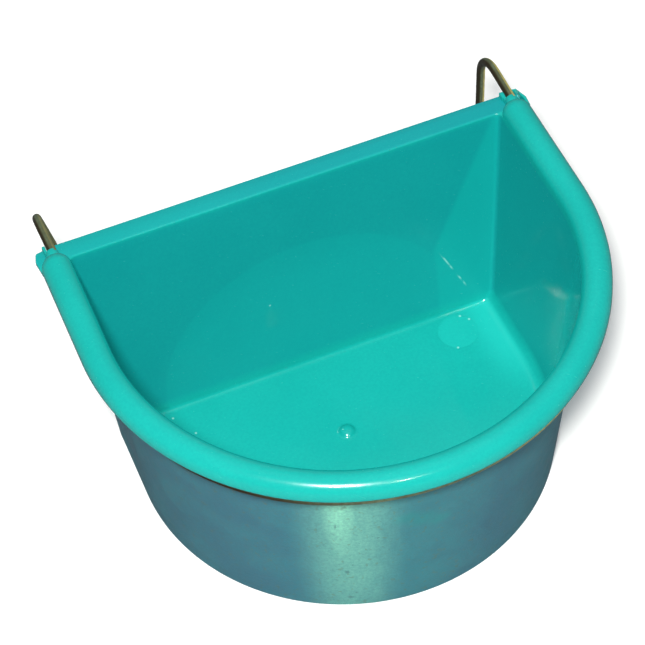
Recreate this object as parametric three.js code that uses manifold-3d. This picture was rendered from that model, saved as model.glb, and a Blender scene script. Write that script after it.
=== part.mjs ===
// Hook-over trough feeder: a one-piece moulded D-shaped bowl that hangs on one bent steel wire.
// The wire lies in the hollow under the bowl's rolled rim, leaves through a slot in each back
// corner, and ends in two hooks that go over a cage bar or a fence wire. Millimetres, +Z up.
// The origin is the middle of the bowl's flat underside. +Y points to the back (the hook side).
import * as THREE from 'three';
import { mergeVertices } from 'three/addons/utils/BufferGeometryUtils.js';
import Module from 'manifold-3d';

const wasm = await Module();
wasm.setup();
const DEG = Math.PI / 180;

// ---- bowl: driving dimensions ----
const BACK_Y = 78;               // back edge of the flange
const FLANGE_WIDTH = 8;
const FLANGE_Z = 94.6;           // top of the flange
const RIM_Z = 95;                // height of the rim's section centre
const RIM_R = 5.8;               // outer radius of the rolled rim
const RIM_SKIRT = 2;             // straight lip below the section centre
const WALL_STEP = 0.1;           // the inner wall stands this far in from the rim's inner edge
const RIM_END_X = 94;            // half distance between the rim's two ends
const RIM_END_Y = 66.4;
const FRONT_R = 95.2;            // radius of the round front, on the rim's centreline
const FRONT_Y = 19.8;            // its centre
const WALL = 1.9;
const DRAFT = Math.tan(5.6 * DEG);
const BACK_DRAFT = Math.tan(8.9 * DEG);
const FLOOR_FILLET = 6;          // inside radius between the round wall and the floor
const FILLET_STEPS = 4;
const SLOT_WIDTH = 5.4;           // wire slot in each back corner
const SLOT_TOP = RIM_Z + 3.5;
const SLOT_LIP = 1;              // raised lip round the slot: height
const SLOT_LIP_WIDTH = 1.5;      // and width on each side
const SLOT_LIP_DEPTH = 4;
const PIP_Y = 17.8;              // moulding pip on the floor
const PIP_R = 3.2;
const PIP_HEIGHT = 1.5;

// ---- wire hanger: driving dimensions ----
const WIRE_R = 1.7;
const WIRE_SHIFT = 0.7;          // the wire sits a little to the right in its slots
const WIRE_EXIT_Z = RIM_Z + 1.5; // height where it leaves the rim
const WIRE_SAG = 8.6;            // how far the loop's sides hang below the exits
const WIRE_FRONT_SAG = 5.9;      // the same at the front
const WIRE_OUTSET = 2.8;         // how far the front of the loop stands out from the rim's centreline
const OUTSET_SHAPE = 0.5;        // a smaller power spreads the outset further round
const SIDE_SHAPE = 0.6;          // below 1, the sag is reached close to the exits
const FRONT_SHAPE = 6;           // high, so that the front's own sag is local
const BEND_R = 12.5;             // hook bend
const HOOK_DROP = 45;            // from the run's axis to the wire's end
const HOOKS = {
  left: { side: -1, reach: 20, roll: 14 * DEG },    // reach: back edge to leg axis
  right: { side: 1, reach: 23.5, roll: 1 * DEG },   // roll: how far the leg leans inward
};

// ---- resolution ----
const ARC_STEPS = 40;
const RIM_STEPS = 52;
const SECTION_STEPS = 8;
const WIRE_STEPS = 120;
const WIRE_SIDES = 10;
const CUT = 12;                  // how far cutters run past what they cut
const NICK = 0.5;                // the same for the rim's hollow, at its open underside

// The rim's centreline in plan: a straight side, the round front and the other straight side.
const endOffset = new THREE.Vector2(RIM_END_X, RIM_END_Y - FRONT_Y);
const tangentAngle = endOffset.angle() - Math.acos(FRONT_R / endOffset.length());
const sideLength = Math.sqrt(endOffset.lengthSq() - FRONT_R ** 2);
const frontSweep = Math.PI + 2 * tangentAngle;

const frontPoint = (angle, radius) =>
  new THREE.Vector2(radius * Math.cos(angle), FRONT_Y + radius * Math.sin(angle));

// A line parallel to the rim's centreline, from the right end round the front to the left end.
class RimLine extends THREE.Curve {
  constructor(outset = () => 0, height = () => RIM_Z) {
    super();
    this.outset = outset;
    this.height = height;
  }

  getPoint(t, target = new THREE.Vector3()) {
    const total = 2 * sideLength + FRONT_R * frontSweep;
    const along = t * total;
    const turned = THREE.MathUtils.clamp((along - sideLength) / FRONT_R, 0, frontSweep);
    const angle = tangentAngle - turned;
    const point = frontPoint(angle, FRONT_R + this.outset(t));
    const ahead = new THREE.Vector2(Math.sin(angle), -Math.cos(angle));
    const straight = along < sideLength ? along - sideLength : Math.max(0, along - total + sideLength);
    point.addScaledVector(ahead, straight);
    return target.set(point.x, point.y, this.height(t));
  }
}

// A quarter bend from a start point, with its first and last directions given.
class Bend extends THREE.Curve {
  constructor(start, first, last, radius) {
    super();
    Object.assign(this, { start, first, last, radius });
  }

  getPoint(t, target = new THREE.Vector3()) {
    const angle = t * Math.PI / 2;
    return target.copy(this.start)
      .addScaledVector(this.first, this.radius * Math.sin(angle))
      .addScaledVector(this.last, this.radius * (1 - Math.cos(angle)));
  }
}

// ---- solids ----
function toManifold(geometry) {
  const bare = geometry.index ? geometry.clone() : geometry;
  bare.deleteAttribute('normal');
  bare.deleteAttribute('uv');
  const merged = mergeVertices(bare, 1e-4);
  return new wasm.Manifold(new wasm.Mesh({
    numProp: 3,
    vertProperties: new Float32Array(merged.attributes.position.array),
    triVerts: new Uint32Array(merged.index.array),
  }));
}

function toGeometry(manifold) {
  const mesh = manifold.getMesh();
  const geometry = new THREE.BufferGeometry();
  geometry.setAttribute('position', new THREE.BufferAttribute(mesh.vertProperties, 3));
  geometry.setIndex(new THREE.BufferAttribute(mesh.triVerts, 1));
  geometry.computeVertexNormals();
  return geometry;
}

// One closed D in plan, inset from the rim's centreline and cut off at the back line.
function dOutline(inset, backY) {
  const radius = FRONT_R - inset;
  const tangent = frontPoint(tangentAngle, radius);
  const slope = Math.tan(tangentAngle);
  const sideX = tangent.x - (backY - tangent.y) * slope;
  const points = [new THREE.Vector2(sideX, backY)];
  for (let i = 0; i <= ARC_STEPS; i += 1) {
    points.push(frontPoint(tangentAngle - frontSweep * i / ARC_STEPS, radius));
  }
  points.push(new THREE.Vector2(-sideX, backY));
  return points.reverse();
}

// A solid through a stack of D outlines, lowest first: [height, inset, back line].
function stackOfOutlines(levels) {
  const rings = levels.map(([z, inset, backY]) => ({ z, points: dOutline(inset, backY) }));
  const count = rings[0].points.length;
  const positions = rings.flatMap(({ z, points }) => points.flatMap((p) => [p.x, p.y, z]));
  const index = [];
  for (let level = 0; level + 1 < rings.length; level += 1) {
    for (let i = 0; i < count; i += 1) {
      const a = level * count + i;
      const b = level * count + (i + 1) % count;
      index.push(a, b, a + count, b, b + count, a + count);
    }
  }
  const topStart = (rings.length - 1) * count;
  for (const [a, b, c] of THREE.ShapeUtils.triangulateShape(rings[0].points, [])) {
    index.push(c, b, a, topStart + a, topStart + b, topStart + c);
  }
  const geometry = new THREE.BufferGeometry();
  geometry.setAttribute('position', new THREE.Float32BufferAttribute(positions, 3));
  geometry.setIndex(index);
  return toManifold(geometry);
}

// Half-round section of the rim, drawn for a sweep whose shape x axis points down.
function rimSection(radius, skirt) {
  const shape = new THREE.Shape();
  shape.moveTo(skirt, radius);
  for (let i = 0; i <= SECTION_STEPS; i += 1) {
    const angle = Math.PI * i / SECTION_STEPS;
    shape.lineTo(-radius * Math.sin(angle), radius * Math.cos(angle));
  }
  shape.lineTo(skirt, -radius);
  return shape;
}

function rimSweep(radius, skirt) {
  return toManifold(new THREE.ExtrudeGeometry(rimSection(radius, skirt), {
    steps: RIM_STEPS, extrudePath: new RimLine(), curveSegments: 1,
  }));
}

// Round end of the rim: a dome over a short skirt.
function rimEnd(side, radius, skirt) {
  const profile = [new THREE.Vector2(0, -skirt), new THREE.Vector2(radius, -skirt)];
  for (let i = 0; i < SECTION_STEPS; i += 1) {
    const angle = Math.PI / 2 * i / SECTION_STEPS;
    profile.push(new THREE.Vector2(radius * Math.cos(angle), radius * Math.sin(angle)));
  }
  profile.push(new THREE.Vector2(0, radius));
  const dome = new THREE.LatheGeometry(profile, 2 * SECTION_STEPS);
  dome.rotateX(Math.PI / 2);
  dome.translate(side * RIM_END_X, RIM_END_Y, RIM_Z);
  return toManifold(dome);
}

function plate(outline, bottom, top) {
  const geometry = new THREE.ExtrudeGeometry(new THREE.Shape(outline), {
    depth: top - bottom, bevelEnabled: false,
  });
  geometry.translate(0, 0, bottom);
  return toManifold(geometry);
}

const mirrored = (points) =>
  [...points, ...points.map((p) => new THREE.Vector2(-p.x, p.y)).reverse()];

// Corner of the back flange in plan, round the outside of the rim's end.
const CORNER = [
  new THREE.Vector2(RIM_END_X + RIM_R, RIM_END_Y),
  new THREE.Vector2(RIM_END_X + RIM_R + 0.2, BACK_Y - 4),
  new THREE.Vector2(RIM_END_X + 5, BACK_Y - 1.4),
  new THREE.Vector2(RIM_END_X + 3.4, BACK_Y),
];

function bowl() {
  const flangeBottom = FLANGE_Z - WALL;
  const lineAtTop = BACK_Y - FLANGE_WIDTH;
  const backLine = (z) => lineAtTop - (FLANGE_Z - z) * BACK_DRAFT;

  const outside = stackOfOutlines([0, flangeBottom].map((z) =>
    [z, RIM_R - WALL + (RIM_Z - z) * DRAFT, backLine(z) + WALL]));

  const levels = [];
  for (let i = 0; i <= FILLET_STEPS; i += 1) {
    const angle = Math.PI / 2 * i / FILLET_STEPS;
    const z = WALL + FLOOR_FILLET * (1 - Math.cos(angle));
    const inset = RIM_R + (RIM_Z - z) * DRAFT + FLOOR_FILLET * (1 - Math.sin(angle));
    levels.push([z, inset, backLine(z)]);
  }
  levels.push([FLANGE_Z, RIM_R + WALL_STEP, lineAtTop]);
  levels.push([RIM_Z + CUT, RIM_R + WALL_STEP, lineAtTop]);
  const inside = stackOfOutlines(levels);

  const flange = plate(mirrored(CORNER), flangeBottom, FLANGE_Z);
  const pip = new THREE.SphereGeometry(PIP_R, 16, 8);
  pip.scale(1, 1, PIP_HEIGHT / PIP_R);
  pip.translate(0, PIP_Y, WALL);

  let shell = outside.add(flange).add(rimSweep(RIM_R, RIM_SKIRT));
  for (const side of [-1, 1]) {
    shell = shell.add(rimEnd(side, RIM_R, RIM_SKIRT)).add(slotLip(side));
  }
  shell = shell.subtract(inside).subtract(rimSweep(RIM_R - WALL, RIM_SKIRT + NICK));
  for (const side of [-1, 1]) {
    shell = shell.subtract(rimEnd(side, RIM_R - WALL, RIM_SKIRT + NICK)).subtract(slot(side));
  }
  return toGeometry(shell.add(toManifold(pip)));
}

function box(width, depth, height, x, y, z) {
  const geometry = new THREE.BoxGeometry(width, depth, height);
  geometry.translate(x, y, z);
  return toManifold(geometry);
}

// Raised lip round the wire slot, open at the back.
function slotLip(side) {
  return box(SLOT_WIDTH + 2 * SLOT_LIP_WIDTH, SLOT_LIP_DEPTH, WALL + SLOT_LIP,
    side * RIM_END_X, BACK_Y - SLOT_LIP_DEPTH / 2, FLANGE_Z + (SLOT_LIP - WALL) / 2);
}

// The slot runs from the rim's end out through the back edge, and is open downward.
function slot(side) {
  const depth = BACK_Y - RIM_END_Y + CUT;
  const height = SLOT_TOP - FLANGE_Z + CUT;
  return box(SLOT_WIDTH, depth, height,
    side * RIM_END_X, RIM_END_Y + depth / 2, SLOT_TOP - height / 2);
}

// Height of the wire loop at share t of the rim's length.
function loopHeight(t) {
  const side = Math.sin(Math.PI * t) ** SIDE_SHAPE;
  const front = Math.sin(Math.PI * t) ** FRONT_SHAPE;
  return WIRE_EXIT_Z - WIRE_SAG * side + (WIRE_SAG - WIRE_FRONT_SAG) * front;
}

function hook({ side, reach, roll }) {
  const back = new THREE.Vector3(0, 1, 0);
  const down = new THREE.Vector3(-side * Math.sin(roll), 0, -Math.cos(roll));
  const exit = new THREE.Vector3(side * RIM_END_X + WIRE_SHIFT, RIM_END_Y, WIRE_EXIT_Z);
  const bendStart = exit.clone().setY(BACK_Y + reach - BEND_R);
  const bend = new Bend(bendStart, back, down, BEND_R);
  const legTop = bend.getPoint(1);
  const tip = legTop.clone().addScaledVector(down, HOOK_DROP - BEND_R);
  return { exit, bendStart, bend, legTop, tip };
}

function wireHanger() {
  const loop = new RimLine((t) => WIRE_OUTSET * Math.sin(Math.PI * t) ** OUTSET_SHAPE, loopHeight);
  const shifted = new THREE.Curve();
  shifted.getPoint = (t, target = new THREE.Vector3()) => {
    loop.getPoint(t, target);
    target.x += WIRE_SHIFT * (1 - Math.sin(Math.PI * t) ** SIDE_SHAPE);
    return target;
  };
  const right = hook(HOOKS.right);
  const left = hook(HOOKS.left);
  const reversed = new THREE.Curve();
  reversed.getPoint = (t, target = new THREE.Vector3()) => right.bend.getPoint(1 - t, target);

  const path = new THREE.CurvePath();
  path.add(new THREE.LineCurve3(right.tip, right.legTop));
  path.add(reversed);
  path.add(new THREE.LineCurve3(right.bendStart, right.exit));
  path.add(shifted);
  path.add(new THREE.LineCurve3(left.exit, left.bendStart));
  path.add(left.bend);
  path.add(new THREE.LineCurve3(left.legTop, left.tip));

  const section = new THREE.Shape();
  section.absarc(0, 0, WIRE_R, 0, 2 * Math.PI, false);
  return toGeometry(toManifold(new THREE.ExtrudeGeometry(section, {
    steps: WIRE_STEPS, curveSegments: WIRE_SIDES / 2, extrudePath: path,
  })));
}

function part(name, geometry, color, roughness, metalness) {
  const mesh = new THREE.Mesh(geometry, new THREE.MeshStandardMaterial({ color, roughness, metalness }));
  mesh.name = name;
  return mesh;
}

const feeder = new THREE.Group();
feeder.add(part('bowl', bowl(), 0x19b9ac, 0.3, 0));
feeder.add(part('wire_hanger', wireHanger(), 0x6e7058, 0.4, 0.9));

export default feeder;
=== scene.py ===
"""Looks of the hook-over trough feeder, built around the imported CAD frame.

The bowl is one moulded shell and the hanger is one bent wire. Shapes are worked out in
millimetres in the frame's axes (+X right, +Y back, +Z up) and turned into metres when a mesh is
made.
"""
import math

import bmesh
import bpy
from mathutils import Matrix, Vector


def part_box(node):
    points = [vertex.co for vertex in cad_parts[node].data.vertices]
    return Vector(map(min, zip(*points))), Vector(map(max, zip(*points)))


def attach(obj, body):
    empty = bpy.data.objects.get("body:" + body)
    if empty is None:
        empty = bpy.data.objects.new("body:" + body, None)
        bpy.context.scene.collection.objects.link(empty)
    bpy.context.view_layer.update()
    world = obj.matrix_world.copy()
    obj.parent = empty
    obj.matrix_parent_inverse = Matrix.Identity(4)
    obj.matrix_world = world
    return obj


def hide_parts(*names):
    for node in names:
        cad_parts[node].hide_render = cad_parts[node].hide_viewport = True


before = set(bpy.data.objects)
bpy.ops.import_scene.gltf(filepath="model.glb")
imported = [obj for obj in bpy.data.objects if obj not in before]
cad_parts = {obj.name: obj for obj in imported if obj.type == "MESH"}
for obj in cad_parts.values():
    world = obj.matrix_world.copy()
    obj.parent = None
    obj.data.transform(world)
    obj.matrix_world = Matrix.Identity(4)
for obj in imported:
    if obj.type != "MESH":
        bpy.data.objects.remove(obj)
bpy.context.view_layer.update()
MM = 0.001

# ---- bowl sizes, millimetres ----
bowl_low, bowl_high = (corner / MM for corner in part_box("bowl"))
RIM_R = 5.8                       # outer radius of the rolled rim
RIM_SKIRT = 2.0                   # straight lip below the rim's section centre
RIM_Z = bowl_high.z - RIM_R       # height of that centre
RIM_END = Vector((94.0, 66.4))    # centre of the rim's right end; the left end is its mirror
FRONT_R = bowl_high.x - RIM_R     # the round front, on the rim's centreline
FRONT_Y = bowl_low.y + FRONT_R + RIM_R
WALL = 1.9
DRAFT = math.tan(math.radians(5.6))
BACK_DRAFT = math.tan(math.radians(8.9))
BACK_Y = bowl_high.y
FLANGE_WIDTH = 8.0
FLANGE_Z = RIM_Z - 0.4            # top of the back flange
COVE_R = 6.0                      # inside, between the round wall and the floor
BACK_FILLET_R = 1.6               # inside, between the back wall and the floor
CORNER_R = 2.2                    # inside, between the back wall and the sides
CREASE_R = 0.7                    # inside, between the back wall and the flange
FOOT_R = 0.9                      # outside, round the bottom edge

# ---- wire sizes, millimetres ----
WIRE_R = 1.7
WIRE_SHIFT = 0.7                  # the wire sits a little to the right in its slots
WIRE_EXIT_Z = RIM_Z + 1.5
WIRE_SAG = 8.6                    # how far the loop's sides hang below the exits
WIRE_FRONT_SAG = 5.9              # the same at the front
WIRE_OUTSET = 2.8                 # how far its front stands out from the rim's centreline
OUTSET_SHAPE = 0.5                # powers of a sine that share the three out along the loop
SIDE_SHAPE = 0.6
FRONT_SHAPE = 6
BEND_R = 12.5                     # of the hooks, at the middle of the wire
HOOK_DROP = 45.0                  # from the top of a hook to its tip
WIRE_GAP = 0.12                   # between the wire and the edges of its slots
CUT_END = ((0.0, 0.72), (0.08, 0.88), (0.35, 1.0))    # depth, and share of the radius
HOOKS = {
    "left": {"side": -1, "reach": 20.0, "roll": math.radians(14)},
    "right": {"side": 1, "reach": 23.5, "roll": math.radians(1)},
}

# ---- fineness ----
ARC_STEPS = 168
SIDE_STEPS = 8
CORNER_STEPS = 7
BACK_STEPS = 24
ROUND_STEPS = 24
LOOP_STEPS = 240
BEND_STEPS = 24
WIRE_SIDES = 20


# ================================================================ mesh helpers
def mesh_object(name, points, faces):
    """A closed mesh from points in millimetres, with its faces turned outward."""
    mesh = bpy.data.meshes.new(name)
    mesh.from_pydata([Vector(p) * MM for p in points], [], faces)
    work = bmesh.new()
    work.from_mesh(mesh)
    bmesh.ops.recalc_face_normals(work, faces=work.faces)
    work.to_mesh(mesh)
    work.free()
    obj = bpy.data.objects.new(name, mesh)
    bpy.context.scene.collection.objects.link(obj)
    return obj


def loft(name, rings, ring_of_rings=False):
    """A closed solid through rings of equal length, with its ends capped or joined up."""
    count = len(rings[0])
    levels = len(rings)
    faces = []
    for level in range(levels if ring_of_rings else levels - 1):
        low = level * count
        high = (level + 1) % levels * count
        for i in range(count):
            j = (i + 1) % count
            faces.append((low + i, low + j, high + j, high + i))
    if not ring_of_rings:
        faces.append(tuple(range(count)))
        faces.append(tuple(range((levels - 1) * count, levels * count)))
    return mesh_object(name, [p for ring in rings for p in ring], faces)


def sweep(name, stations, profile):
    """A profile of (outward offset, height) points carried along stations of (point, outward)."""
    return loft(name, [
        [(point.x + outward.x * d, point.y + outward.y * d, z) for d, z in profile]
        for point, outward in stations
    ])


def lathe(name, centre, profile, steps=2 * ROUND_STEPS):
    """A solid of revolution about a vertical axis, from (radius, height) points."""
    turns = [2 * math.pi * i / steps for i in range(steps)]
    return loft(name, [
        [(centre.x + r * math.cos(a), centre.y + r * math.sin(a), z) for a in turns]
        for r, z in profile
    ])


def rectangle(low, high, z):
    """The corners of a rectangle in plan, at one height."""
    return [
        (low[0], low[1], z), (high[0], low[1], z), (high[0], high[1], z), (low[0], high[1], z),
    ]


def box(name, low, high):
    return loft(name, [rectangle(low, high, z) for z in (low[2], high[2])])


def mirrored(points):
    """Plan points on the other side of the middle, in the opposite order."""
    return [Vector((-p.x, p.y)) for p in reversed(points)]


def boolean(target, operation, *tools):
    """Joins or cuts closed solids and removes the tools."""
    for tool in tools:
        modifier = target.modifiers.new("boolean", "BOOLEAN")
        modifier.solver = "MANIFOLD"
        modifier.operation = operation
        modifier.object = tool
        depsgraph = bpy.context.evaluated_depsgraph_get()
        mesh = bpy.data.meshes.new_from_object(target.evaluated_get(depsgraph))
        target.modifiers.clear()
        target.data = mesh
        bpy.data.objects.remove(tool)
    return target


def fillet(height, radius):
    """How far a concave quarter round stands in from its wall at a height above its foot."""
    if height >= radius:
        return 0.0
    return radius - math.sqrt(radius ** 2 - (radius - height) ** 2)


def round_corner(before, corner, after, radius, steps):
    """An arc that rounds one corner of a plan outline."""
    a = (before - corner).normalized()
    b = (after - corner).normalized()
    half = a.angle(b) / 2
    centre = corner + (a + b).normalized() * radius / math.sin(half)
    start = corner + a * radius / math.tan(half) - centre
    end = corner + b * radius / math.tan(half) - centre
    turn = start.angle_signed(end)
    arc = []
    for i in range(steps + 1):
        arc.append(centre + Matrix.Rotation(-turn * i / steps, 2) @ start)
    return arc


def offset_outline(points, distance):
    """A convex plan outline moved inward by a distance."""
    moved = []
    for i, point in enumerate(points):
        ahead = (points[(i + 1) % len(points)] - points[i - 1]).normalized()
        moved.append(point + Vector((-ahead.y, ahead.x)) * distance)
    return moved


# ================================================================ the bowl's plan
end_offset = RIM_END - Vector((0, FRONT_Y))
tangent_angle = math.atan2(end_offset.y, end_offset.x) - math.acos(FRONT_R / end_offset.length)
side_length = math.sqrt(end_offset.length_squared - FRONT_R ** 2)
front_sweep = math.pi + 2 * tangent_angle


def front_point(angle, radius):
    return Vector((radius * math.cos(angle), FRONT_Y + radius * math.sin(angle)))


def rim_stations():
    """Points and outward directions along the rim's centreline, right end to left end."""
    arc = []
    for i in range(ARC_STEPS + 1):
        angle = tangent_angle - front_sweep * i / ARC_STEPS
        arc.append((front_point(angle, FRONT_R), Vector((math.cos(angle), math.sin(angle)))))
    first, outward = arc[0]
    back = Vector((-outward.y, outward.x))
    right = [
        (first + back * side_length * (1 - i / SIDE_STEPS), outward) for i in range(SIDE_STEPS)
    ]
    left = [(Vector((-p.x, p.y)), Vector((-n.x, n.y))) for p, n in reversed(right)]
    return right + arc + left


def d_loop(inset, back_y, corner_r):
    """A closed D in plan, inset from the rim's centreline, with rounded back corners."""
    radius = FRONT_R - inset
    turns = [tangent_angle - front_sweep * i / ARC_STEPS for i in range(ARC_STEPS + 1)]
    arc = [front_point(turn, radius) for turn in turns]
    lean = math.tan(tangent_angle)
    corner = Vector((arc[0].x - (back_y - arc[0].y) * lean, back_y))
    rounded = round_corner(Vector((0, back_y)), corner, arc[0], corner_r, CORNER_STEPS)
    far_end = Vector((-rounded[0].x, back_y))
    back = [rounded[0].lerp(far_end, i / BACK_STEPS) for i in range(1, BACK_STEPS)]
    side = [rounded[-1].lerp(arc[0], i / SIDE_STEPS) for i in range(1, SIDE_STEPS)]
    return rounded + side + arc + mirrored(side) + mirrored(rounded) + list(reversed(back))


def d_ring(inset, back_y, corner_r, z):
    return [(p.x, p.y, z) for p in d_loop(inset, back_y, corner_r)]


def back_line(z):
    """The inner face of the back wall."""
    return BACK_Y - FLANGE_WIDTH - (FLANGE_Z - z) * BACK_DRAFT


def wall_inset(z):
    """The outer face of the round wall, from the rim's centreline."""
    return RIM_R - WALL + (RIM_Z - z) * DRAFT


def half_round(radius, low, steps=ROUND_STEPS):
    """Half-round section over two straight legs, from outside to inside."""
    arc = [
        (radius * math.cos(math.pi * i / steps), RIM_Z + radius * math.sin(math.pi * i / steps))
        for i in range(steps + 1)
    ]
    return [(radius, low)] + arc + [(-radius, low)]


# ================================================================ the bowl
FLANGE_LOW = FLANGE_Z - WALL
SKIRT_Z = RIM_Z - RIM_SKIRT
LIP_R = 0.5                       # rounding of moulded edges
UNDER_FLANGE_R = 1.0              # outside, between the back wall and the flange
CUT_DEPTH = 4.0                   # how far the slot cutters reach below the flange
CUT_PAST = 3.0                    # and past the back edge
PIP_CENTRE = Vector((0, FRONT_Y - 2))
PIP_PROFILE = (                   # radius, height above the floor
    (4.2, -0.5), (4.1, 0.01), (3.5, 0.1), (3.1, 0.35), (2.75, 0.75), (2.2, 1.15), (1.5, 1.42),
    (0.7, 1.54), (0.02, 1.56),
)
EJECTOR_CENTRE = Vector((59.8, 45.5))
EJECTOR_PROFILE = ((7.8, -0.4), (7.85, 0.07), (8.1, 0.1), (8.35, 0.07), (8.4, -0.4))
# ear corners: (outward from the rim's end, in from the back edge, rounding)
LEFT_EAR = ((5.8, -11.6, 0), (6.4, -5.0, 2.0), (5.2, -1.3, 1.0), (2.4, -0.8, 1.0), (1.2, 0.0, 0.3))
RIGHT_EAR = ((5.8, -11.6, 0), (6.5, -5.0, 0.6), (4.3, 0.0, 0.6))


def tub():
    """Everything inside the outer walls, still solid."""
    rings = []
    for i in range(6):
        angle = math.pi / 2 * i / 5
        z = FOOT_R * (1 - math.cos(angle))
        tuck = FOOT_R * (1 - math.sin(angle))
        rings.append((z, tuck))
    rings += [(z, 0.0) for z in (12, 30, 50, 70, 85, FLANGE_LOW - 1.2, FLANGE_LOW + 1.5)]
    solid = []
    for z, tuck in rings:
        under_flange = fillet(max(0.0, FLANGE_LOW - z), UNDER_FLANGE_R)
        back = back_line(z) + WALL - tuck + under_flange
        solid.append(d_ring(wall_inset(z) + tuck, back, CORNER_R + WALL, z))
    return loft("tub", solid)


def cavity():
    """The space inside the bowl, with its coves and fillets."""
    heights = [COVE_R * (1 - math.cos(math.pi / 2 * i / 12)) for i in range(13)]
    levels = [WALL + h for h in heights] + [20, 35, 50, 65, 80, 90]
    levels += [FLANGE_Z - CREASE_R * (1 - math.sin(math.pi / 2 * i / 6)) for i in range(7)]
    rings = []
    for z in levels:
        height = z - WALL
        inset = RIM_R + (RIM_Z - z) * DRAFT + fillet(height, COVE_R)
        flare = fillet(max(0.0, FLANGE_Z - z), CREASE_R)
        back = back_line(z) - fillet(height, BACK_FILLET_R) + flare
        rings.append(d_ring(inset, back, CORNER_R, z))
    rings.append(d_ring(RIM_R, back_line(FLANGE_Z) + CREASE_R, CORNER_R, RIM_Z))
    return loft("cavity", rings)


def rim():
    """The rolled rim with its round ends, not yet hollow."""
    profile = [(RIM_R - LIP_R, SKIRT_Z), (RIM_R - 0.15, SKIRT_Z + 0.15)]
    profile += half_round(RIM_R, SKIRT_Z + LIP_R)[:-1]
    profile += [(-RIM_R - 0.6, RIM_Z - 1), (-RIM_R - 0.6, SKIRT_Z)]
    solid = sweep("rim", rim_stations(), profile)
    for side in (-1, 1):
        centre = Vector((side * RIM_END.x, RIM_END.y))
        boolean(solid, "UNION", dome(centre, RIM_R, SKIRT_Z, LIP_R))
    return solid


def dome(centre, radius, low, rounding):
    """A round end of the rim."""
    profile = [(radius - rounding, low), (radius - rounding * 0.3, low + rounding * 0.3)]
    profile += [(radius, low + rounding)]
    for i in range(ROUND_STEPS // 2):
        angle = math.pi / 2 * i / (ROUND_STEPS // 2)
        profile.append((radius * math.cos(angle), RIM_Z + radius * math.sin(angle)))
    profile.append((0.02, RIM_Z + radius))
    return lathe("dome", centre, profile)


def flange():
    """The flat plate along the back, with a round left ear and a straight-cut right ear."""
    corners = [(Vector((RIM_END.x + x, BACK_Y + y)), r) for x, y, r in RIGHT_EAR]
    corners += [(Vector((-RIM_END.x - x, BACK_Y + y)), r) for x, y, r in reversed(LEFT_EAR)]
    outline = []
    for i, (corner, radius) in enumerate(corners):
        before, after = corners[i - 1][0], corners[(i + 1) % len(corners)][0]
        outline += round_corner(before, corner, after, radius, 5) if radius else [corner]
    levels = [(FLANGE_LOW, 0.4), (FLANGE_LOW + 0.12, 0.12), (FLANGE_LOW + 0.4, 0.0)]
    levels += [(2 * FLANGE_Z - WALL - z, inset) for z, inset in reversed(levels)]
    rings = [[(p.x, p.y, z) for p in offset_outline(outline, inset)] for z, inset in levels]
    return loft("flange", rings)


def ear_wall():
    """The low upstanding lip round the outside of the right ear."""
    middle = [(5.5, -10.0), (5.75, -5.6), (3.9, -0.62), (2.6, -0.62)]
    middle = [Vector((RIM_END.x + x, BACK_Y + y)) for x, y in middle]
    stations = []
    last = len(middle) - 1
    for i, point in enumerate(middle):
        ahead = (middle[min(i + 1, last)] - middle[max(i - 1, 0)]).normalized()
        stations.append((point, Vector((ahead.y, -ahead.x))))
    top = FLANGE_Z + 1.6
    profile = [(0.6, FLANGE_LOW + 0.5), (0.6, top - 0.3), (0.35, top), (-0.35, top)]
    profile += [(-0.6, top - 0.3), (-0.6, FLANGE_LOW + 0.5)]
    return sweep("ear_wall", stations, profile)


def arch(name, centre, radius, low, sections):
    """A round-topped block along Y: sections are (y, how much smaller)."""
    rings = []
    for y, inset in sections:
        r = radius - inset
        turns = [math.pi * i / 16 for i in range(17)]
        ring = [(centre.x + r * math.cos(a), y, centre.y + r * math.sin(a)) for a in turns]
        rings.append(ring + [(centre.x - r, y, low), (centre.x + r, y, low)])
    return loft(name, rings)


def wire_centre(side):
    """Where the wire crosses the rim's end, in X and Z."""
    return Vector((side * RIM_END.x + WIRE_SHIFT, WIRE_EXIT_Z))


def hood(side):
    """The little arch over the wire where it leaves the rim's end."""
    y = RIM_END.y + RIM_R
    centre = wire_centre(side) + Vector((-0.4, 0))
    sections = [(y - 2.5, 0.0), (y + 0.9, 0.0), (y + 1.2, 0.1), (y + 1.35, 0.35)]
    return arch("hood", centre, 2.45, FLANGE_LOW + 0.4, sections)


def wire_slot(side):
    """Cutter for the slot that the wire leaves through, open downward."""
    sections = [(RIM_END.y + 1, 0.0), (BACK_Y + CUT_PAST, 0.0)]
    return arch("slot", wire_centre(side), WIRE_R + WIRE_GAP, FLANGE_LOW - CUT_DEPTH, sections)


def slot_lip(side):
    """The low ridge along one edge of a slot."""
    x = wire_centre(side).x - WIRE_R
    levels = [(FLANGE_LOW + 0.5, 0), (FLANGE_Z + 1.5, 0)]
    levels += [(FLANGE_Z + 1.75, 0.12), (FLANGE_Z + 1.85, 0.35)]
    return loft("slot_lip", [
        rectangle((x - 1.2 + inset, RIM_END.y + 3), (x, BACK_Y - 0.4 - inset), z)
        for z, inset in levels
    ])


def slot_relief():
    """Cutter that frees the inner side of the left-hand wire."""
    x = wire_centre(-1).x
    low = (x + 0.6, RIM_END.y + RIM_R + 0.2, FLANGE_LOW - CUT_DEPTH)
    return box("relief", low, (x + 2.0, BACK_Y + CUT_PAST, RIM_Z + 6))


def ear_recess():
    """Cutter for the pocket between the right ear's lip and the rim's end."""
    low = (RIM_END.x + 1, RIM_END.y + 5.9, FLANGE_LOW + 0.7)
    return box("recess", low, (RIM_END.x + 4.7, BACK_Y - 1.25, RIM_Z + 8))


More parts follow.
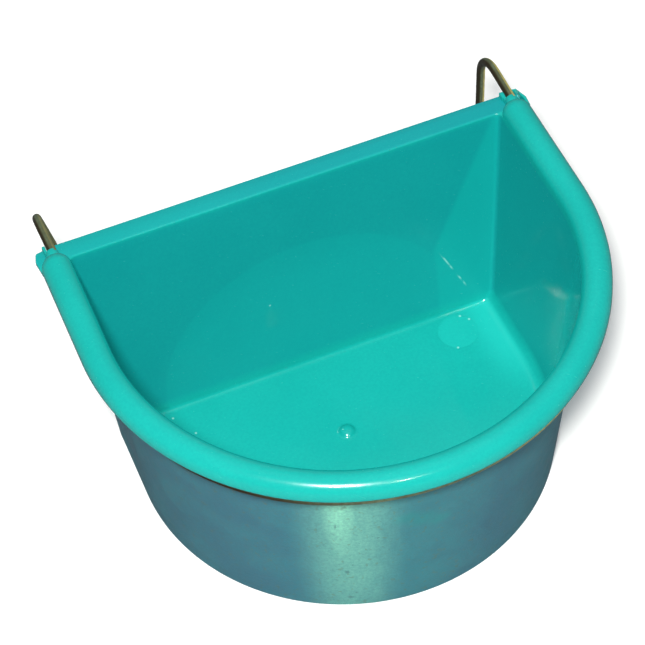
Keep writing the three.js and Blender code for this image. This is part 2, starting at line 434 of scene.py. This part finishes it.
def lug():
    """The small tab beside the right-hand wire slot."""
    low = Vector((RIM_END.x - 2.6, BACK_Y - 3.0))
    high = Vector((RIM_END.x - 0.8, BACK_Y))
    levels = [(FLANGE_LOW + 0.5, 0), (FLANGE_Z + 1.6, 0)]
    levels += [(FLANGE_Z + 1.95, 0.15), (FLANGE_Z + 2.1, 0.4)]
    return loft("lug", [
        rectangle(low + Vector((inset, inset)), high - Vector((inset, inset)), z)
        for z, inset in levels
    ])


def pip():
    """The moulding pip in the middle of the floor."""
    return lathe("pip", PIP_CENTRE, [(r, WALL + height) for r, height in PIP_PROFILE], 40)


def ejector_mark():
    """The faint ring that an ejector pin leaves on the floor."""
    steps = 64
    rings = []
    for i in range(steps):
        turn = 2 * math.pi * i / steps
        outward = Vector((math.cos(turn), math.sin(turn)))
        places = [(EJECTOR_CENTRE + outward * r, WALL + height) for r, height in EJECTOR_PROFILE]
        rings.append([(p.x, p.y, z) for p, z in places])
    return loft("ejector_mark", rings, ring_of_rings=True)


def hollow():
    """The channel under the rim that the wire lies in."""
    radius = RIM_R - WALL
    low = RIM_Z - RIM_SKIRT - 1
    profile = half_round(radius, low)[:-1]
    profile.append((-wall_inset(low) + 0.02, low))
    solid = sweep("hollow", rim_stations(), profile)
    for side in (-1, 1):
        centre = Vector((side * RIM_END.x, RIM_END.y))
        boolean(solid, "UNION", dome(centre, radius, low, 0.01))
    return solid


def bowl():
    shell = tub()
    boolean(shell, "UNION", flange(), rim(), lug(), ear_wall())
    boolean(shell, "UNION", slot_lip(-1), slot_lip(1), hood(-1), hood(1))
    boolean(shell, "DIFFERENCE", cavity(), hollow(), ear_recess(), slot_relief())
    boolean(shell, "DIFFERENCE", wire_slot(-1), wire_slot(1))
    boolean(shell, "UNION", pip(), ejector_mark())
    shell.name = "bowl_shell"
    shell.data.name = "bowl_shell"
    return shell


# ================================================================ the wire
def loop_point(t):
    """The wire loop under the rim, t from 0 at the right end to 1 at the left end."""
    total = 2 * side_length + FRONT_R * front_sweep
    along = t * total
    turned = min(max((along - side_length) / FRONT_R, 0), front_sweep)
    angle = tangent_angle - turned
    straight = min(along - side_length, 0) + max(along - total + side_length, 0)
    point = front_point(angle, FRONT_R + WIRE_OUTSET * math.sin(math.pi * t) ** OUTSET_SHAPE)
    point += Vector((math.sin(angle), -math.cos(angle))) * straight
    side = math.sin(math.pi * t) ** SIDE_SHAPE
    front = math.sin(math.pi * t) ** FRONT_SHAPE
    height = WIRE_EXIT_Z - WIRE_SAG * side + (WIRE_SAG - WIRE_FRONT_SAG) * front
    return Vector((point.x + WIRE_SHIFT * (1 - side), point.y, height))


def hook_points(side, reach, roll):
    """From the rim's end back to the bend, round it and down to the tip."""
    down = Vector((-side * math.sin(roll), 0, -math.cos(roll)))
    back = Vector((0, 1, 0))
    exit_point = Vector((side * RIM_END.x + WIRE_SHIFT, RIM_END.y, WIRE_EXIT_Z))
    bend_start = Vector((exit_point.x, BACK_Y + reach - BEND_R, WIRE_EXIT_Z))
    points = [exit_point.lerp(bend_start, i / 10) for i in range(1, 10)]
    for i in range(BEND_STEPS + 1):
        angle = math.pi / 2 * i / BEND_STEPS
        along, drop = BEND_R * math.sin(angle), BEND_R * (1 - math.cos(angle))
        points.append(bend_start + back * along + down * drop)
    leg_top = points[-1]
    leg = HOOK_DROP - BEND_R
    points += [leg_top + down * leg * i / 14 for i in range(1, 15)]
    return points


def wire_ring(centre, ahead, across, radius):
    """The corners of the wire's round section."""
    other = ahead.cross(across)
    turns = [2 * math.pi * i / WIRE_SIDES for i in range(WIRE_SIDES)]
    return [centre + (across * math.cos(a) + other * math.sin(a)) * radius for a in turns]


def wire():
    """One tube from the right hook's tip, round the loop, to the left hook's tip."""
    right = hook_points(**HOOKS["right"])
    left = hook_points(**HOOKS["left"])
    loop = [loop_point(i / LOOP_STEPS) for i in range(LOOP_STEPS + 1)]
    path = list(reversed(right)) + loop + left
    last = len(path) - 1
    ahead = (path[1] - path[0]).normalized()
    across = ahead.orthogonal().normalized()
    rings = []
    for i, point in enumerate(path):
        new_ahead = (path[min(i + 1, last)] - path[max(i - 1, 0)]).normalized()
        across = (ahead.rotation_difference(new_ahead) @ across).normalized()
        ahead = new_ahead
        if i == 0:
            sections = CUT_END
        elif i == last:
            sections = [(-depth, share) for depth, share in reversed(CUT_END)]
        else:
            sections = [(0.0, 1.0)]
        for depth, share in sections:
            rings.append(wire_ring(point + ahead * depth, ahead, across, WIRE_R * share))
    return loft("hanger_wire", rings)


# ================================================================ shader helpers
def node(tree, kind, inputs=None, **settings):
    """Adds a node. An input is a value or the socket that feeds it."""
    made = tree.nodes.new(kind)
    for key, value in settings.items():
        setattr(made, key, value)
    for key, value in (inputs or {}).items():
        if isinstance(value, bpy.types.NodeSocket):
            tree.links.new(value, made.inputs[key])
        else:
            made.inputs[key].default_value = value
    return made


def noise(tree, place, size, detail=3.0, roughness=0.5, stretch=(1, 1, 1)):
    """Noise whose blobs are about size metres across, drawn out by stretch."""
    scale = tuple(1 / (size * s) for s in stretch)
    mapped = node(tree, "ShaderNodeMapping", {"Vector": place, "Scale": scale})
    made = node(tree, "ShaderNodeTexNoise", {
        "Vector": mapped.outputs["Vector"], "Scale": 1.0, "Detail": detail, "Roughness": roughness,
    })
    return made.outputs["Fac"]


def remap(tree, value, low, high, out_low=0.0, out_high=1.0):
    made = node(tree, "ShaderNodeMapRange", {
        "Value": value, "From Min": low, "From Max": high, "To Min": out_low, "To Max": out_high,
    }, interpolation_type="SMOOTHSTEP")
    return made.outputs["Result"]


def blend(tree, share, first, second):
    """A colour between two others."""
    made = node(tree, "ShaderNodeMix", data_type="RGBA")
    colours = {"Factor_Float": share, "A_Color": first, "B_Color": second}
    for socket in made.inputs:
        value = colours.get(socket.identifier)
        if isinstance(value, bpy.types.NodeSocket):
            tree.links.new(value, socket)
        elif value is not None:
            socket.default_value = value
    return [socket for socket in made.outputs if socket.identifier == "Result_Color"][0]


def calculate(tree, operation, first, second=0.0):
    return node(tree, "ShaderNodeMath", {0: first, 1: second}, operation=operation).outputs[0]


def plus(tree, first, second):
    return calculate(tree, "ADD", first, second)


def minus(tree, first, second):
    return calculate(tree, "SUBTRACT", first, second)


def times(tree, first, second):
    return calculate(tree, "MULTIPLY", first, second)


def vector(tree, operation, first, second):
    inputs = {0: first, 1: second}
    return node(tree, "ShaderNodeVectorMath", inputs, operation=operation).outputs[0]


def axes(tree, place):
    """X, Y and Z of a point, in millimetres."""
    scaled = vector(tree, "MULTIPLY", place, (1 / MM, 1 / MM, 1 / MM))
    parts = node(tree, "ShaderNodeSeparateXYZ", {0: scaled})
    return parts.outputs[0], parts.outputs[1], parts.outputs[2]


def join(tree, first, second):
    """Two numbers as a point on a map."""
    return node(tree, "ShaderNodeCombineXYZ", {0: first, 1: second, 2: 0.0}).outputs[0]


def spot(tree, where, centre, half, soft=0.35):
    """1 inside an ellipse on a map and 0 outside it."""
    moved = vector(tree, "SUBTRACT", where, (*centre, 0))
    scaled = vector(tree, "DIVIDE", moved, (*half, 1))
    reach = node(tree, "ShaderNodeVectorMath", {0: scaled}, operation="LENGTH").outputs["Value"]
    return remap(tree, reach, 1 + soft, 1 - soft)


def scratches(tree, place, turn, cut):
    """Thin straight lines lying along a turned axis; a higher cut leaves fewer of them."""
    turned = node(tree, "ShaderNodeMapping", {"Vector": place, "Rotation": turn}).outputs[0]
    drawn_out = node(tree, "ShaderNodeMapping", {"Vector": turned, "Scale": (1600, 1600, 45)})
    lines = node(tree, "ShaderNodeTexNoise", {
        "Vector": drawn_out.outputs[0], "Scale": 1.0, "Detail": 1.0,
    })
    return remap(tree, lines.outputs["Fac"], cut, cut + 0.04)


def any_of(tree, masks):
    total = masks[0]
    for mask in masks[1:]:
        total = calculate(tree, "MAXIMUM", total, mask)
    return total


def emboss(tree, shader, height, strength, distance):
    """Fine relief; distance is in metres."""
    bump = node(tree, "ShaderNodeBump", {
        "Height": height, "Strength": strength, "Distance": distance,
    })
    tree.links.new(bump.outputs["Normal"], shader.inputs["Normal"])


def material(name, **uniform):
    """A material with a Principled shader whose uniform values are set on its own sockets."""
    made = bpy.data.materials.new(name)
    made.use_nodes = True
    tree = made.node_tree
    shader = tree.nodes["Principled BSDF"]
    for key, value in uniform.items():
        shader.inputs[key.replace("_", " ")].default_value = value
    place = node(tree, "ShaderNodeTexCoord").outputs["Object"]
    return made, tree, shader, place


# ================================================================ glossy teal
# Places on the inside are in millimetres: (x, z) on the back wall and (x, y) on the floor.
TEAL = (0.006, 0.40, 0.355, 1)
TEAL_CLOUD = (0.008, 0.43, 0.38, 1)
TEAL_GRAIN = (0.003, 0.28, 0.29, 1)
# The next colours paint shade on the walls, reflected light on the back wall and floor, a paler
# ejector disc, and glints.
TEAL_SHADED = (0.005, 0.22, 0.30, 1)
TEAL_REFLECTED = (0.006, 0.46, 0.42, 1)
TEAL_DISC_AND_REFLECTED = (0.02, 0.62, 0.55, 1)
TEAL_GLINT = (0.4, 0.85, 0.75, 1)
WALL_SHADE = 0.34
FLANGE_SHADE = (0.27, 0.46)    # at the left end and from the middle to the right
WALL_GLINT = (-13.3, 37.9)
FLOOR_GLINTS = (
    (63.7, 52.4), (66.4, 49.5), (56.5, 38.1), (-60, 51.4), (-54.4, 41.1), (-61.2, 59.2),
    (-56, 61.7),
)


def painted_wall_shade(tree, x, y, z):
    """Painted shade: the walls are painted darker and bluer than the rim and floor, and the flange
    a little darker towards the right.
    """
    on_walls = times(tree, remap(tree, z, 4, 9), remap(tree, z, 94.6, 92.5))
    on_flange = times(tree, remap(tree, z, 94.8, 94.65), remap(tree, y, 69.5, 71))
    to_the_right = remap(tree, x, -85, 20, *FLANGE_SHADE)
    return any_of(tree, [
        times(tree, on_walls, WALL_SHADE), times(tree, on_flange, to_the_right),
    ])


def on_back_wall(tree, y, z):
    """1 on the inner face of the back wall, below the flange."""
    upright = minus(tree, y, times(tree, z, BACK_DRAFT))
    below_flange = remap(tree, z, FLANGE_Z - 0.4, FLANGE_Z - 1.2)
    return times(tree, remap(tree, upright, 54.3, 54.9), below_flange)


def back_wall_painted_light(tree, x, z):
    """Painted light: a faint lighter oval of bounced light, and a paler wedge of reflected light
    at the right.
    """
    bounce_patch = spot(tree, join(tree, x, z), (2, 8), (62, 55), 0.012)
    lean = times(tree, calculate(tree, "MAXIMUM", minus(tree, z, 37), 0), 0.51)
    reflected_wedge = remap(tree, minus(tree, x, lean), 54.5, 58.0)
    return any_of(tree, [times(tree, bounce_patch, 0.16), times(tree, reflected_wedge, 0.42)])


def floor_disc_and_painted_light(tree, x, y):
    """A paler disc inside the ejector ring, and a painted pool of reflected light in the floor's
    right back corner.
    """
    where = join(tree, x, y)
    ejector = spot(tree, where, tuple(EJECTOR_CENTRE), (8.1, 8.1), 0.06)
    corner = spot(tree, where, (76, 44), (10, 26), 0.7)
    return any_of(tree, [times(tree, ejector, 0.25), times(tree, corner, 0.5)])


def wall_painted_glints(tree, place, x, z):
    """Painted glints: one bright dot, and a thin broken bright line at the edge of a reflection,
    slanting down to the right.
    """
    where = join(tree, x, z)
    from_glint_line = minus(tree, plus(tree, x, times(tree, z, 0.475)), 75.1)
    glint_line = remap(tree, calculate(tree, "ABSOLUTE", from_glint_line), 0.55, 0.1)
    glint_line = times(tree, glint_line, remap(tree, noise(tree, place, 0.004, 2.0), 0.38, 0.6))
    glint_line = times(tree, glint_line, spot(tree, where, (63.5, 24.5), (7, 13), 0.2))
    return any_of(tree, [spot(tree, where, WALL_GLINT, (0.4, 0.4)), glint_line])


# Painted glints: small bright dots on the floor.
def floor_painted_glints(tree, x, y):
    where = join(tree, x, y)
    return any_of(tree, [spot(tree, where, centre, (0.45, 0.45)) for centre in FLOOR_GLINTS])


def teal_gloss():
    """The glossy inside, rim and flange: even colour with a fine grain, painted shade on the walls
    and flange, a paler ejector disc, painted reflected light and painted glints.
    """
    made, tree, shader, place = material(
        "teal_gloss", IOR=1.42, Coat_Weight=0.5, Coat_Roughness=0.12)
    x, y, z = axes(tree, place)
    on_back = on_back_wall(tree, y, z)
    on_floor = remap(tree, z, WALL + 2.0, WALL + 0.6)
    cloud = noise(tree, place, 0.05, 3.0)
    grain = noise(tree, place, 0.0011, 2.0, 0.7)
    painted_glints = any_of(tree, [
        times(tree, wall_painted_glints(tree, place, x, z), on_back),
        times(tree, floor_painted_glints(tree, x, y), on_floor),
    ])
    tone = blend(tree, remap(tree, cloud, 0.3, 0.7), TEAL, TEAL_CLOUD)
    tone = blend(tree, remap(tree, grain, 0.3, 0.7, 0.0, 0.25), tone, TEAL_GRAIN)
    # painted shade on the inner walls and the flange
    tone = blend(tree, painted_wall_shade(tree, x, y, z), tone, TEAL_SHADED)
    # painted light: bounced and reflected light on the back wall
    tone = blend(tree, times(tree, back_wall_painted_light(tree, x, z), on_back), tone, TEAL_REFLECTED)
    # a paler ejector disc, and painted reflected light on the floor
    tone = blend(tree, times(tree, floor_disc_and_painted_light(tree, x, y), on_floor), tone, TEAL_DISC_AND_REFLECTED)
    # painted glints on the back wall and floor
    tone = blend(tree, times(tree, painted_glints, 0.55), tone, TEAL_GLINT)
    tree.links.new(tone, shader.inputs["Base Color"])
    lines = scratches(tree, place, (0.7, 0.9, 0.3), 0.725)
    film = noise(tree, place, 0.02, 5.0, 0.6)
    rough = plus(tree, remap(tree, film, 0.3, 0.75, 0.16, 0.24), times(tree, lines, 0.1))
    tree.links.new(rough, shader.inputs["Roughness"])
    peel = noise(tree, place, 0.0022, 2.0)
    emboss(tree, shader, minus(tree, peel, times(tree, lines, 0.2)), 0.12, 0.0002)
    return made


# ================================================================ dull outer walls
# Places on the outer wall are (degrees round the front's centre, millimetres up).
# The slate colour is partly painted shade: the outer walls are painted darker and bluer than the
# glossy inside.
SLATE = (0.034, 0.158, 0.222, 1)
SLATE_CLOUD = (0.030, 0.19, 0.242, 1)
SLATE_GRAIN = (0.055, 0.12, 0.15, 1)
SLATE_LIT_FRONT = (0.03, 0.235, 0.25, 1)
# painted highlight: the pale colour of the glare band on the outer wall
SLATE_GLARE = (0.25, 0.66, 0.47, 1)
SLATE_SMUDGE = (0.008, 0.25, 0.24, 1)
SLATE_MARK = (0.03, 0.10, 0.13, 1)
SLATE_FLECK = (0.10, 0.14, 0.085, 1)
FRONT_ANGLE = -103.0
SMUDGES = (                       # centre, half size
    ((-96.5, 60.5), (3.4, 3.6)), ((-93, 57), (3.6, 4.2)), ((-88.5, 53), (3.0, 3.2)),
)
SPECKS = (                        # centre, half size
    ((-111.6, 26.4), (0.6, 1.0)), ((-110.0, 31.6), (0.3, 0.6)), ((-110.9, 7.0), (0.8, 0.8)),
    ((-109.3, 10.6), (0.3, 0.6)), ((-103.8, 50.1), (0.3, 0.5)), ((-114.0, 60.2), (0.25, 1.6)),
)


def painted_glare_band(tree, ragged, grain):
    """A painted highlight: a pale upright band of glare a little left of the front, with a broad
    faint halo.
    """
    core = spot(tree, ragged, (-112.8, 76), (4.4, 44), 0.8)
    halo = spot(tree, ragged, (-110.5, 56), (9.5, 84), 0.75)
    band = any_of(tree, [times(tree, halo, 0.55), core])
    return times(tree, band, remap(tree, grain, 0.3, 0.7, 1.0, 0.62))


def spots(tree, where, places, soft):
    return any_of(tree, [spot(tree, where, centre, half, soft) for centre, half in places])


def slate_outside():
    """The dull outer walls, painted darker and bluer in part as shade, painted lighter towards the
    front with a pale band of painted glare there, and with scratches and specks.
    """
    made, tree, shader, place = material("teal_scuffed_and_painted_light", IOR=1.42)
    x, y, z = axes(tree, place)
    turn = calculate(tree, "ARCTAN2", minus(tree, y, FRONT_Y), x)
    angle = times(tree, turn, 180 / math.pi)
    wall = join(tree, angle, z)
    streaks = noise(tree, place, 0.003, 4.0, 0.7, stretch=(1, 1, 5))
    ragged = vector(tree, "ADD", wall, streaks)
    wobbly = vector(tree, "ADD", wall, noise(tree, place, 0.001, 2.0, 0.7))
    cloud = noise(tree, place, 0.02, 5.0, 0.65)
    grain = noise(tree, place, 0.0013, 3.0, 0.75)
    flecks = remap(tree, noise(tree, place, 0.0022, 2.0), 0.62, 0.7)
    from_front = calculate(tree, "ABSOLUTE", minus(tree, angle, FRONT_ANGLE))
    smudge = spots(tree, ragged, SMUDGES, 0.6)
    specks = spots(tree, wobbly, SPECKS, 0.6)
    lines = any_of(tree, [
        scratches(tree, place, (0.5, 0.5, 0), 0.7), scratches(tree, place, (-0.3, 1.1, 0), 0.71),
    ])
    marks = any_of(tree, [times(tree, specks, 0.6), times(tree, lines, 0.3)])
    tone = blend(tree, remap(tree, cloud, 0.32, 0.68), SLATE, SLATE_CLOUD)
    tone = blend(tree, remap(tree, grain, 0.3, 0.7, 0.0, 0.45), tone, SLATE_GRAIN)
    # painted light: lighter and greener within about 32 degrees of the side that faces the flash
    tone = blend(tree, remap(tree, from_front, 32.0, 4.0, 0.0, 0.4), tone, SLATE_LIT_FRONT)
    # painted highlight: a pale band of glare on the front of the outer wall
    tone = blend(tree, painted_glare_band(tree, ragged, grain), tone, SLATE_GLARE)
    tone = blend(tree, times(tree, smudge, 0.4), tone, SLATE_SMUDGE)
    tone = blend(tree, marks, tone, SLATE_MARK)
    tone = blend(tree, times(tree, flecks, 0.35), tone, SLATE_FLECK)
    tree.links.new(tone, shader.inputs["Base Color"])
    tree.links.new(remap(tree, cloud, 0.3, 0.7, 0.4, 0.55), shader.inputs["Roughness"])
    emboss(tree, shader, minus(tree, grain, times(tree, lines, 0.8)), 0.25, 0.0003)
    return made


# ================================================================ wire finish
OLIVE = (0.19, 0.24, 0.14, 1)
OLIVE_STAIN = (0.12, 0.14, 0.08, 1)
OLIVE_STREAK = (0.12, 0.11, 0.05, 1)
# painted sheen on the wire's right side and painted shade on its left
GOLD_SHEEN = (0.95, 0.80, 0.22, 1)
BROWN_SHADE = (0.035, 0.022, 0.008, 1)


def wire_finish():
    """Yellow-passivated wire: olive where its finish is dull, with a painted gold sheen on its
    right side and painted brown shade on its left.
    """
    made, tree, shader, place = material("passivated_wire", IOR=1.6, Metallic=0.45)
    normal = node(tree, "ShaderNodeTexCoord").outputs["Normal"]
    sideways = node(tree, "ShaderNodeSeparateXYZ", {0: normal}).outputs[0]
    x = axes(tree, place)[0]
    stain = noise(tree, place, 0.005, 5.0, 0.7)
    fine = noise(tree, place, 0.0009, 3.0, stretch=(1, 5, 1))
    patchy = remap(tree, noise(tree, place, 0.004, 3.0), 0.35, 0.65, 0.55, 0.95)
    # painted highlight on the right-facing side, painted shade on the left-facing side
    painted_gold_sheen = times(tree, remap(tree, sideways, 0.1, 0.5), patchy)
    painted_gold_sheen = times(tree, painted_gold_sheen, remap(tree, x, -50, 50, 0.25, 1.0))
    painted_brown_shade = times(tree, remap(tree, sideways, -0.2, -0.7), 0.95)
    tone = blend(tree, remap(tree, stain, 0.35, 0.65), OLIVE, OLIVE_STAIN)
    tone = blend(tree, remap(tree, fine, 0.4, 0.7, 0.0, 0.4), tone, OLIVE_STREAK)
    tone = blend(tree, painted_gold_sheen, tone, GOLD_SHEEN)
    tone = blend(tree, painted_brown_shade, tone, BROWN_SHADE)
    tree.links.new(tone, shader.inputs["Base Color"])
    tree.links.new(remap(tree, stain, 0.3, 0.7, 0.28, 0.42), shader.inputs["Roughness"])
    emboss(tree, shader, fine, 0.3, 0.0002)
    return made


# ================================================================ painting
def paint_bowl(shell):
    """Glossy inside, rim and flange; dull outer walls and underside."""
    shell.data.materials.clear()
    shell.data.materials.append(teal_gloss())
    shell.data.materials.append(slate_outside())
    for face in shell.data.polygons:
        face.material_index = 1 if is_outside(face) else 0


def is_outside(face):
    """Whether a face of the bowl is on its outer walls or its underside."""
    centre = face.center / MM
    if centre.z > SKIRT_Z - 0.05:
        return False
    if centre.z < WALL / 2:
        return True
    within_wall = 0.8 * WALL
    inset = wall_inset(centre.z) + within_wall
    if centre.y > back_line(centre.z) + WALL - within_wall:
        return True
    if centre.y < FRONT_Y:
        return math.hypot(centre.x, centre.y - FRONT_Y) > FRONT_R - inset
    lean = (centre.y - FRONT_Y) * math.tan(tangent_angle)
    return abs(centre.x) > FRONT_R / math.cos(tangent_angle) - lean - inset


def smooth(obj, degrees):
    """Smooth shading, with edges sharper than an angle left crisp."""
    obj.data.shade_smooth()
    obj.data.set_sharp_from_angle(angle=math.radians(degrees))


# ================================================================ camera, light and floor
LIT_POINT = Vector((0, 0, 0.04))
FLOOR_HALF = 3000                 # millimetres
BACKDROP_R = 2950
BACKDROP_HEIGHT = 3000
FLASH_FROM_EYE = Vector((-0.05, 0.02, 0.12))


def look(obj, target):
    direction = (target - obj.location).normalized()
    obj.rotation_mode = "QUATERNION"
    obj.rotation_quaternion = direction.to_track_quat("-Z", "Y")


def camera():
    """The photo's viewpoint: from the front left, looking down."""
    azimuth = math.radians(20.61)
    elevation = math.radians(51.57)
    roll = math.radians(-2.69)
    distance = 1300
    slide_left, slide_down = 7.43, 3.0
    target = Vector((0, 18, 75))
    ahead = Vector((
        math.sin(azimuth) * math.cos(elevation),
        math.cos(azimuth) * math.cos(elevation),
        -math.sin(elevation),
    ))
    level = Vector((math.cos(azimuth), -math.sin(azimuth), 0))
    up = level.cross(ahead)
    right = level * math.cos(roll) + up * math.sin(roll)
    upright = up * math.cos(roll) - level * math.sin(roll)
    place = target - ahead * distance - right * slide_left - upright * slide_down
    turned = Matrix((right, upright, -ahead)).transposed().to_4x4()
    data = bpy.data.cameras.new("camera")
    data.sensor_width = 36
    data.lens = 193.94
    obj = bpy.data.objects.new("camera", data)
    bpy.context.scene.collection.objects.link(obj)
    obj.matrix_world = Matrix.Translation(place * MM) @ turned
    bpy.context.scene.camera = obj


def area_light(name, place, size, power, colour=(1, 1, 1)):
    """A round light that faces the bowl. Its place and size are in metres."""
    data = bpy.data.lights.new(name, "AREA")
    data.shape = "DISK"
    data.size = size
    data.energy = power
    data.color = colour
    obj = bpy.data.objects.new(name, data)
    bpy.context.scene.collection.objects.link(obj)
    obj.location = place
    look(obj, LIT_POINT)
    return obj


def plain_white(name, brightness, glow):
    """Matt white that glows a little."""
    made = bpy.data.materials.new(name)
    made.use_nodes = True
    shader = made.node_tree.nodes["Principled BSDF"]
    shader.inputs["Base Color"].default_value = (brightness, brightness, brightness, 1)
    shader.inputs["Roughness"].default_value = 0.9
    shader.inputs["Emission Color"].default_value = (1, 1, 1, 1)
    shader.inputs["Emission Strength"].default_value = glow
    return made


def floor():
    """A plain pale floor that doesn't show in the plastic's reflections."""
    half = FLOOR_HALF
    corners = [(-half, -half, 0), (half, -half, 0), (half, half, 0), (-half, half, 0)]
    made = mesh_object("floor", corners, [(0, 1, 2, 3)])
    made.data.materials.append(plain_white("floor", 0.88, 0.18))
    made.visible_glossy = False
    return made


def backdrop():
    """A plain white wall all round, far outside the lights, which only shows behind the floor."""
    steps = 64
    turns = [2 * math.pi * i / steps for i in range(steps)]
    ring = [(BACKDROP_R * math.cos(a), BACKDROP_R * math.sin(a)) for a in turns]
    points = [(x, y, z) for z in (0, BACKDROP_HEIGHT) for x, y in ring]
    faces = [(i, (i + 1) % steps, steps + (i + 1) % steps, steps + i) for i in range(steps)]
    made = mesh_object("backdrop", points, faces)
    made.data.materials.append(plain_white("backdrop", 0.0, 0.8))
    made.visible_diffuse = False
    made.visible_glossy = False
    made.visible_shadow = False
    return made


def studio():
    """A flash beside the camera, a small warm lamp in front, and soft lights above and behind."""
    world = bpy.data.worlds.new("studio")
    bpy.context.scene.world = world
    world.use_nodes = True
    fill = world.node_tree.nodes["Background"]
    fill.inputs["Color"].default_value = (0.85, 0.95, 1.0, 1)
    fill.inputs["Strength"].default_value = 0.16
    eye = bpy.context.scene.camera.matrix_world.translation.copy()
    area_light("flash", eye + FLASH_FROM_EYE, 0.15, 25.5, (1.0, 1.0, 0.96))
    lamp = area_light("lamp", Vector((0.03, -1.0, 1.15)), 0.05, 2.0, (1.0, 0.92, 0.66))
    lamp.visible_diffuse = False
    ceiling = area_light("ceiling", Vector((0.2, 0.3, 1.6)), 1.2, 5.0)
    ceiling.visible_glossy = False
    rear = area_light("rear", Vector((0.9, 1.5, 0.9)), 0.8, 3.0)
    rear.visible_glossy = False


# ================================================================ the scene
camera()
bpy.context.scene.view_settings.view_transform = "Standard"
studio()
floor()
backdrop()

bowl_shell = bowl()
smooth(bowl_shell, 32)
paint_bowl(bowl_shell)
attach(bowl_shell, "bowl")
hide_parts("bowl")

hanger_wire = wire()
smooth(hanger_wire, 40)
hanger_wire.data.materials.append(wire_finish())
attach(hanger_wire, "hanger")
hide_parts("wire_hanger")
